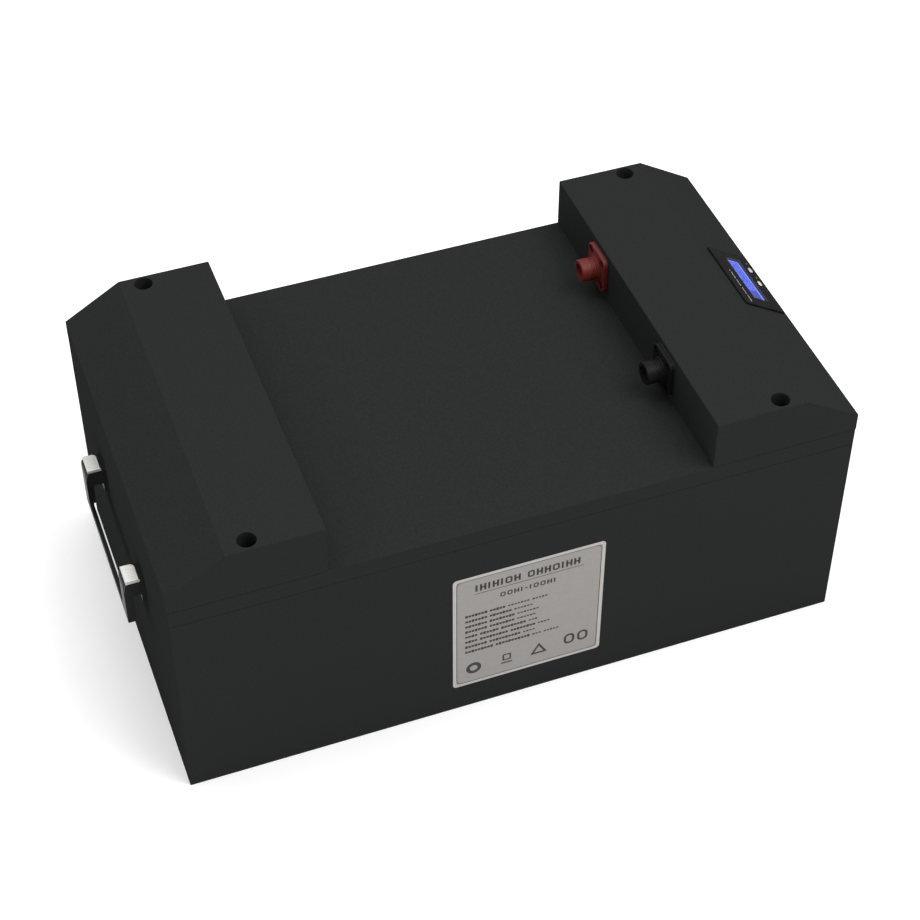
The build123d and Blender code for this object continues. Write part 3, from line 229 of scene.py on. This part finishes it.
def rounded_line(name, wide, tall, radius, line, thick, segments=4):
    """A closed line: a rounded plate outline, inset by the line's width and hollow inside."""
    deselect()
    bpy.ops.mesh.primitive_plane_add(size=1.0)
    outline = bpy.context.object
    outline.name = name
    outline.scale = (wide * MM, tall * MM, 1.0)
    bpy.ops.object.transform_apply(location=False, rotation=False, scale=True)
    bpy.ops.object.mode_set(mode="EDIT")
    bpy.ops.mesh.select_all(action="SELECT")
    bpy.ops.mesh.bevel(offset=radius * MM, segments=segments, affect="VERTICES")
    hollow_line(line, thick)
    return outline


def copy_to(source, place):
    """A copy with its own mesh, moved to a place in millimetres on the same plane."""
    twin = source.copy()
    twin.data = source.data.copy()
    bpy.context.scene.collection.objects.link(twin)
    twin.location = [v * MM for v in place]
    return twin


def drop(piece):
    """Takes a pattern piece out of the file."""
    bpy.data.meshes.remove(piece.data)


def join_on(name, parts, plane, material, body):
    """Joins flat parts into one piece, carries it from XY onto a plane, and lets it ride on a body."""
    deselect()
    for part in parts:
        part.select_set(True)
    bpy.context.view_layer.objects.active = parts[0]
    bpy.ops.object.join()
    piece = bpy.context.object
    piece.name = name
    piece.matrix_world = plane @ piece.matrix_world
    bpy.ops.object.transform_apply(location=True, rotation=True, scale=True)
    piece.data.materials.clear()
    piece.data.materials.append(material)
    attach(piece, body)
    return piece


def plane_at(origin, along, up):
    """Matrix that carries XY onto a plane through a point, with these directions for X and Y."""
    along, up = Vector(along).normalized(), Vector(up).normalized()
    out = along.cross(up)
    return Matrix.Translation(origin) @ Matrix((along, up, out)).transposed().to_4x4()


# Unprinted rim, a paler band round the film's edge.
RIM_CORNER = 3.0
RIM_LINE = 2.6
label_middle = (label_low + label_high) / 2
label_middle.y = label_low.y
label_plane = plane_at(label_middle, (1, 0, 0), (0, 0, 1))
LABEL_WIDE, LABEL_TALL = [(label_high - label_low)[i] / MM for i in (0, 2)]

rim_line = rounded_line("label_rim", LABEL_WIDE, LABEL_TALL, RIM_CORNER, RIM_LINE, INK_MM)
label_rim_film, tree, shader = new_material("unprinted_film_rim", IOR=1.57, Specular_IOR_Level=0.30)
vary_colour(tree, shader, grain(tree, 2.5, 3.0), "a09d9a", "a5a29f")
vary_roughness(tree, shader, grain(tree, 5.0), 0.40, 0.50)
join_on("label_rim", [rim_line], label_plane, label_rim_film, "pack")

# Thin printed border, just inside the rim.
BORDER_CORNER = 4.2
BORDER_LINE = 0.55
border = rounded_line("label_border", LABEL_WIDE - 2 * RIM_LINE, LABEL_TALL - 2 * RIM_LINE,
                      BORDER_CORNER, BORDER_LINE, INK_MM)
join_on("label_border", [border], label_plane, screen_ink, "pack")

# The heading is a row of upright strokes and rings as tall as its capitals, underlined; below it
# stands a shorter rating row. Each sign's strokes are placed by their share of the sign's step.
SIGN_STROKES = {"o": (("ring", 0.4),), "p": (("post", 0.25),),
                "n": (("post", 0.12), ("post", 0.66), ("dash", 0.39)), "-": (("dash", 0.35),), " ": ()}
HEADING_START, HEADING_LEVEL = -40.4, 44.4
HEADING_TALL = 6.6
UNDERLINE_WIDE, UNDERLINE_LEVEL = 82.0, 38.6
RATING_START, RATING_LEVEL = -21.8, 31.0
RATING_TALL = 4.6


def mark_row(signs, start, level, strokes, steps):
    """Sets rings (o), single posts (p), joined pairs (n) and dashes (-) side by side along a row."""
    row_marks = []
    pen = start
    for sign in signs:
        for stroke, share in SIGN_STROKES[sign]:
            row_marks.append(copy_to(strokes[stroke], (pen + steps[sign] * share, level, 0)))
        pen += steps[sign]
    for stroke in strokes.values():
        drop(stroke)
    return row_marks


heading_strokes = {
    "ring": rounded_line("ring", 5.3, HEADING_TALL, 1.8, 1.45, INK_MM),
    "post": rounded_slab("post", 1.6, HEADING_TALL, 0.2, INK_MM),
    "dash": rounded_slab("dash", 3.0, 1.4, 0.2, INK_MM),
}
heading = mark_row("pnpnpon onnopnn", HEADING_START, HEADING_LEVEL, heading_strokes,
                   {"o": 6.7, "p": 3.4, "n": 6.0, " ": 4.0})
underline = rounded_slab("underline", UNDERLINE_WIDE, 0.45, 0.1, INK_MM)
underline.location = (0, UNDERLINE_LEVEL * MM, 0)
heading.append(underline)
rating_strokes = {
    "ring": rounded_line("small_ring", 3.9, RATING_TALL, 1.3, 1.0, INK_MM),
    "post": rounded_slab("small_post", 1.15, RATING_TALL, 0.15, INK_MM),
    "dash": rounded_slab("small_dash", 2.2, 1.0, 0.1, INK_MM),
}
heading += mark_row("oonp-poonp", RATING_START, RATING_LEVEL, rating_strokes,
                    {"o": 5.2, "p": 2.9, "n": 4.9, "-": 3.7})
join_on("label_heading", heading, label_plane, screen_ink, "pack")

# Eight rows of small bars, one bar to a letter and broken into words: heavy ones for what each row
# is about, light ones for its value.
rows = []
ROW_NAMES = ((7, 5), (7, 7), (7, 8), (7, 8), (4, 6, 8), (4, 9, 8), (7, 10), (9, 11))
ROW_VALUES = ((7, 5), (6,), (7,), (6,), (3,), (4,), (4,), (3, 5))
ROW_START = -46.8
ROW_TOP = 17.0
ROW_PITCH = 5.5
LETTER_PITCH = 2.4
WORD_GAP = 1.6
TALL_LETTER = 1.3
TALL_EVERY = 3
LIGHT_WIDE, LIGHT_TALL = 0.9, 0.6
letter = rounded_slab("letter", 2.05, 2.1, 0.4, INK_MM, 2)
for row, (names, values) in enumerate(zip(ROW_NAMES, ROW_VALUES)):
    pen = ROW_START
    for word, letters in enumerate(names + values):
        bold = word < len(names)
        for place in range(letters):
            mark = copy_to(letter, (pen, ROW_TOP - row * ROW_PITCH, 0))
            tall = TALL_LETTER if (place + row + word) % TALL_EVERY == 0 else 1.0
            mark.scale = (1.0, tall, 1.0) if bold else (LIGHT_WIDE, tall * LIGHT_TALL, 1.0)
            rows.append(mark)
            pen += LETTER_PITCH
        pen += WORD_GAP
drop(letter)
join_on("label_rows", rows, label_plane, screen_ink, "pack")


# Plain marks along the bottom: a thick ring, a square over a bar, a triangle, two tall rings.
SQUARE_ALONG = -15.8
TALL_RING_LEVEL = -38.0


def corner_ring(name, corners, across, line, place):
    """An outline with that many corners, pointing up, drawn as a flat raised line."""
    deselect()
    bpy.ops.mesh.primitive_circle_add(vertices=corners, radius=across / 2 * MM, fill_type="NGON")
    outline = bpy.context.object
    outline.name = name
    bpy.ops.object.mode_set(mode="EDIT")
    hollow_line(line, INK_MM)
    outline.location = [v * MM for v in place]
    return outline


square = rounded_line("square", 6.6, 6.8, 0.8, 1.2, INK_MM, 2)
square.location = (SQUARE_ALONG * MM, -38.6 * MM, 0)
square_bar = rounded_slab("square_bar", 8.4, 1.3, 0.2, INK_MM)
square_bar.location = (SQUARE_ALONG * MM, -44.6 * MM, 0)
tall_ring = rounded_line("tall_ring", 8.2, 10.6, 3.8, 1.8, INK_MM, 6)
marks = [
    corner_ring("thick_ring", 28, 11.6, 2.8, (-41.2, -40.6, 0)),
    square,
    square_bar,
    corner_ring("triangle", 3, 15.0, 1.6, (9.0, -41.0, 0)),
    copy_to(tall_ring, (32.6, TALL_RING_LEVEL, 0)),
    copy_to(tall_ring, (43.0, TALL_RING_LEVEL, 0)),
]
drop(tall_ring)
join_on("label_marks", marks, label_plane, screen_ink, "pack")

# ------------------------------------------------------------------ power connectors
# Glass-filled nylon, one red and one black, turned-looking rings on the barrel. The glass fibre
# gives a slightly mottled, dry satin skin.
red_nylon, tree, shader = new_material("glass_filled_red_nylon", IOR=1.53, Specular_IOR_Level=0.22)
vary_colour(tree, shader, grain(tree, 1.6, 4.0), "571a18", "601f1c")
vary_roughness(tree, shader, grain(tree, 2.0), 0.42, 0.58)
emboss(tree, shader, grain(tree, 0.5), 0.02, 0.4)
dress(red_nylon, "positive_connector")

black_nylon, tree, shader = new_material("glass_filled_black_nylon", IOR=1.53, Specular_IOR_Level=0.08)
vary_colour(tree, shader, grain(tree, 1.6, 4.0), "101010", "171717")
vary_roughness(tree, shader, grain(tree, 2.0), 0.40, 0.55)
emboss(tree, shader, grain(tree, 0.5), 0.02, 0.4)
dress(black_nylon, "negative_connector", "main_fuse")

# Turned copper contacts with a silver flash, dulled a little by handling.
silver_plate, tree, shader = new_material("silver_plated_copper_contact", Metallic=1.0)
vary_colour(tree, shader, grain(tree, 1.5, 3.0), "8d8a84", "b3afa6")
vary_roughness(tree, shader, grain(tree, 1.0, 2.0, (1, 1, 6)), 0.28, 0.42)
dress(silver_plate, "positive_contact", "negative_contact")

# ------------------------------------------------------------------ panel meter
# Snap-in meter: a smooth moulded bezel, a clear acrylic window, and behind it a backlit liquid
# crystal panel. The bezel is glossier than the case; the window has an anti-glare coat, so the
# panel's blue comes through with little haze.
bezel_abs, tree, shader = new_material("smooth_black_abs_bezel", IOR=1.54, Specular_IOR_Level=0.01)
vary_colour(tree, shader, grain(tree, 5.0, 3.0), "151414", "191818")
vary_roughness(tree, shader, grain(tree, 6.0), 0.46, 0.56)
emboss(tree, shader, grain(tree, 0.9), 0.006, 0.3)
dress(bezel_abs, "meter_housing", "meter_back")

acrylic, tree, shader = new_material("clear_coated_acrylic", IOR=1.20, Alpha=0.04, Specular_IOR_Level=0.05,
                                     Base_Color=linear("dfe5ff"))
vary_roughness(tree, shader, grain(tree, 8.0), 0.0, 0.02)
dress(acrylic, "meter_window")

backlight, tree, shader = new_material("blue_backlit_crystal_panel", IOR=1.50, Specular_IOR_Level=0.02,
                                       Emission_Strength=0.3)
glow = vary_colour(tree, shader, grain(tree, 5.0, 2.0), "3049bc", "3851c8", 0.3, 0.7)
tree.links.new(glow, shader.inputs["Emission Color"])
vary_roughness(tree, shader, grain(tree, 4.0), 0.35, 0.45)
dress(backlight, "meter_display")

# The panel's own picture: a paler frame near the window's edge, seven-stroke figures at one end and
# a solid darker field at the other.
COVER_TOP = 224.5
SLOPE_FALL = 25.7
SLOPE_RUN = 42.5
RIDGE_X = 207.5
SLOPE = math.atan2(SLOPE_FALL, SLOPE_RUN)
down_slope = Vector((math.cos(SLOPE), 0, -math.sin(SLOPE)))
out_of_slope = Vector((math.sin(SLOPE), 0, math.cos(SLOPE)))
ridge = Vector((RIDGE_X * MM, 0, COVER_TOP * MM))


def slope_plane(down, along, out):
    """Plane on the slope: X runs down it, Y runs along the cover, at that many millimetres out."""
    origin = ridge + down_slope * down * MM + Vector((0, along * MM, 0)) + out_of_slope * out * MM
    return plane_at(origin, down_slope, (0, 1, 0))


PANEL_DOWN, PANEL_ALONG, PANEL_OUT = 29.1, 3.5, -1.0
PICTURE_MM = 0.06
panel_plane = slope_plane(PANEL_DOWN, PANEL_ALONG, PANEL_OUT)
pale_frame, tree, shader = new_material("unlit_crystal_edge", IOR=1.50, Specular_IOR_Level=0.02,
                                        Emission_Strength=0.3)
glow = vary_colour(tree, shader, grain(tree, 5.0, 2.0), "7078d6", "7c84e0", 0.3, 0.7)
tree.links.new(glow, shader.inputs["Emission Color"])
dark_crystal, tree, shader = new_material("driven_crystal_segment", IOR=1.50, Specular_IOR_Level=0.02,
                                          Emission_Strength=0.1)
glow = vary_colour(tree, shader, grain(tree, 3.0, 2.0), "17208a", "1d2896", 0.3, 0.7)
tree.links.new(glow, shader.inputs["Emission Color"])

pale = rounded_line("pale", 14.8, 50.4, 0.6, 1.1, PICTURE_MM)
join_on("display_edge", [pale], panel_plane, pale_frame, "pack")
field = rounded_slab("field", 10.6, 12.0, 0.5, PICTURE_MM)
field.location = (0, -17.0 * MM, 0)
segments = [field]
upright = rounded_slab("upright", 2.6, 0.8, 0.25, PICTURE_MM, 2)
level = rounded_slab("level", 0.8, 2.6, 0.25, PICTURE_MM, 2)
FIGURES = ("abdeg", "acdfg", "acdefg", "abcdeg")
FIGURE_START, FIGURE_PITCH, FIGURE_RAISE = 18.6, 5.6, 0.6
HALF = 1.8
STROKES = {"a": (-2 * HALF, 0, level), "g": (0, 0, level), "d": (2 * HALF, 0, level),
           "b": (-HALF, -HALF, upright), "f": (-HALF, HALF, upright),
           "c": (HALF, -HALF, upright), "e": (HALF, HALF, upright)}
for number, lit in enumerate(FIGURES):
    for stroke in lit:
        down, along, pattern = STROKES[stroke]
        place = (down - FIGURE_RAISE, FIGURE_START - number * FIGURE_PITCH + along, 0)
        segments.append(copy_to(pattern, place))
drop(upright)
drop(level)
join_on("display_figures", segments, panel_plane, dark_crystal, "pack")

# Pale screen print on the bezel: a line of small bars above the window and a dot by each key.
pale_ink, tree, shader = new_material("pale_screen_ink", IOR=1.50, Specular_IOR_Level=0.25)
vary_colour(tree, shader, grain(tree, 1.0, 3.0), "8f8e8a", "a9a8a2")
vary_roughness(tree, shader, grain(tree, 0.8), 0.50, 0.65)
PRINT_DOWN, BEZEL_OUT = 15.0, 1.5
bezel_plane = slope_plane(PRINT_DOWN, 0.0, BEZEL_OUT)
legend = []
PRINT_START, PRINT_END = -28.0, 9.3
BAR_STEP, WORD_STEP = 1.35, 2.5
WORD_BARS = 6
BAR_DIP = 0.35
DIP_EVERY = 3
KEY_DOTS = (25.9, 8.7)
DOT_DOWN = 42.1
legend_bar = rounded_slab("legend_bar", 0.75, 1.0, 0.15, 0.03, 2)
pen = PRINT_START
count = 0
while pen < PRINT_END:
    legend.append(copy_to(legend_bar, (BAR_DIP if count % DIP_EVERY else 0.0, pen, 0)))
    count += 1
    pen += BAR_STEP if count % WORD_BARS else WORD_STEP
for along in KEY_DOTS:
    legend.append(copy_to(legend_bar, (DOT_DOWN - PRINT_DOWN, along, 0)))
drop(legend_bar)
join_on("meter_legend", legend, bezel_plane, pale_ink, "pack")

# ------------------------------------------------------------------ meter keys
# Nickel-plated push keys with rounded rims; the plating is bright with a fine satin finish.
nickel, tree, shader = new_material("satin_nickel_key", Metallic=1.0)
vary_colour(tree, shader, grain(tree, 1.0, 3.0), "c3c2c0", "dad9d6")
vary_roughness(tree, shader, grain(tree, 0.6), 0.22, 0.34)
emboss(tree, shader, grain(tree, 0.3), 0.004, 0.3)
dress(nickel, "meter_button_rear", "meter_button_front")

# ------------------------------------------------------------------ folding handles
# Pressed steel bails and brackets with a black powder coat, which flows a little and leaves a faint
# orange peel; the caps over the hinges are brushed stainless steel.
powder_coat, tree, shader = new_material("black_powder_coated_steel", IOR=1.50, Specular_IOR_Level=0.16)
vary_colour(tree, shader, grain(tree, 5.0, 3.0), "0b0b0b", "101010")
vary_roughness(tree, shader, grain(tree, 4.0), 0.34, 0.46)
emboss(tree, shader, grain(tree, 1.4, 2.0), 0.02, 0.5)
dress(powder_coat, "left_bail", "right_bail", "left_front_bracket", "left_rear_bracket",
      "right_front_bracket", "right_rear_bracket")

stainless, tree, shader = new_material("brushed_stainless_cap", Metallic=1.0)
vary_colour(tree, shader, grain(tree, 2.0, 3.0, (0.3, 3, 1)), "cbc9c5", "d6d4d0")
vary_roughness(tree, shader, grain(tree, 0.8, 2.0, (0.15, 3, 1)), 0.26, 0.40)
emboss(tree, shader, grain(tree, 0.6, 2.0, (0.1, 3, 1)), 0.01, 0.4)
dress(stainless, "bracket_caps")

# ------------------------------------------------------------------ cells and their clamping
# Aluminium cell cans in blue film, bare aluminium terminals, copper bars, glass-fibre plates.
cell_film, tree, shader = new_material("blue_film_on_cell_can", IOR=1.50, Specular_IOR_Level=0.5)
vary_colour(tree, shader, grain(tree, 12.0, 3.0), "24509a", "2b5cab")
vary_roughness(tree, shader, grain(tree, 6.0), 0.30, 0.42)
emboss(tree, shader, grain(tree, 7.0, 3.0), 0.06, 0.4)
dress(cell_film, *[f"cell_{number}" for number in range(1, 9)])

bare_aluminium, tree, shader = new_material("machined_aluminium_terminal", Metallic=1.0)
vary_colour(tree, shader, grain(tree, 1.5, 3.0), "b6b8ba", "cfd0d1")
vary_roughness(tree, shader, grain(tree, 0.8), 0.25, 0.40)
dress(bare_aluminium, "cell_terminals")

copper, tree, shader = new_material("rolled_copper_bar", Metallic=1.0)
vary_colour(tree, shader, grain(tree, 3.0, 4.0, (0.3, 1, 1)), "a8603c", "c47b52")
vary_roughness(tree, shader, grain(tree, 1.5, 2.0, (0.2, 1, 1)), 0.28, 0.45)
dress(copper, "busbars", "board_lugs")

glass_fibre, tree, shader = new_material("glass_fibre_laminate", IOR=1.55)
vary_colour(tree, shader, grain(tree, 1.2, 2.0), "7d8a55", "94a068")
vary_roughness(tree, shader, grain(tree, 1.0), 0.45, 0.60)
emboss(tree, shader, grain(tree, 0.8), 0.03, 0.5)
dress(glass_fibre, "cell_separators", "cell_end_plates")

# Closed-cell foam: dull black with a fine open skin.
foam, tree, shader = new_material("closed_cell_foam", IOR=1.40, Specular_IOR_Level=0.1)
vary_colour(tree, shader, grain(tree, 1.5, 3.0), "1c1c1d", "2e2e2f")
vary_roughness(tree, shader, grain(tree, 1.0), 0.85, 0.95)
emboss(tree, shader, grain(tree, 0.9, 3.0), 0.15, 0.8)
dress(foam, "cell_pad", "foam_block")

# ------------------------------------------------------------------ protection board and wiring
# Black anodised aluminium case with fins, green solder-masked boards, silicone-sleeved cables.
anodised, tree, shader = new_material("black_anodised_aluminium", Metallic=1.0)
vary_colour(tree, shader, grain(tree, 3.0, 3.0), "2a2a2c", "38383a")
vary_roughness(tree, shader, grain(tree, 1.5), 0.38, 0.52)
dress(anodised, "board_case")

solder_mask, tree, shader = new_material("green_solder_mask", IOR=1.55)
vary_colour(tree, shader, grain(tree, 1.4, 3.0), "0d3a1e", "14512b")
vary_roughness(tree, shader, grain(tree, 2.0), 0.25, 0.38)
dress(solder_mask, "meter_board", "protection_board")

for finish, tones, wires in (("red_silicone_sleeve", ("8a1414", "a51d1b"),
                              ("positive_cable", "cell_positive_cable")),
                             ("black_silicone_sleeve", ("141414", "1f1f1f"),
                              ("negative_cable", "cell_negative_cable", "meter_lead"))):
    sleeve, tree, shader = new_material(finish, IOR=1.42, Specular_IOR_Level=0.3)
    vary_colour(tree, shader, grain(tree, 2.5, 3.0), *tones)
    vary_roughness(tree, shader, grain(tree, 1.5), 0.50, 0.65)
    emboss(tree, shader, grain(tree, 0.8), 0.02, 0.4)
    dress(sleeve, *wires)

# ------------------------------------------------------------------ floor and light
# A wide, nearly white floor under soft light from large panels, with an even pale sky. The floor
# glows faintly, as a lit backdrop does, so the shadow on it stays light.
deselect()
bpy.ops.mesh.primitive_plane_add(size=12.0, location=(0, 0, 0))
floor = bpy.context.object
floor.name = "floor"
floor_paint, tree, shader = new_material("matt_white_floor", Roughness=0.9, Specular_IOR_Level=0.0,
                                         Emission_Color=(1.0, 1.0, 1.0, 1.0), Emission_Strength=0.18)
vary_colour(tree, shader, grain(tree, 60.0, 2.0), "f4f4f4", "f6f6f6")
floor.data.materials.append(floor_paint)

sky = bpy.data.worlds.new("studio_sky")
bpy.context.scene.world = sky
sky.use_nodes = True
backdrop = sky.node_tree.nodes["Background"]
backdrop.inputs["Color"].default_value = (1.0, 1.0, 1.0, 1.0)
backdrop.inputs["Strength"].default_value = 0.8

LAMPS = (("key_panel", (0.9, -0.9, 2.2), 1.6, 34.0), ("top_panel", (-0.3, 0.8, 2.4), 2.0, 22.0))
for name, place, size, watts in LAMPS:
    lamp = bpy.data.lights.new(name, "AREA")
    lamp.shape = "DISK"
    lamp.size = size
    lamp.energy = watts
    held = bpy.data.objects.new(name, lamp)
    bpy.context.scene.collection.objects.link(held)
    held.location = place
    held.rotation_mode = "QUATERNION"
    held.rotation_quaternion = Vector(place).to_track_quat("Z", "Y")

bpy.context.scene.view_settings.view_transform = "Standard"
bpy.context.scene.view_settings.look = "None"
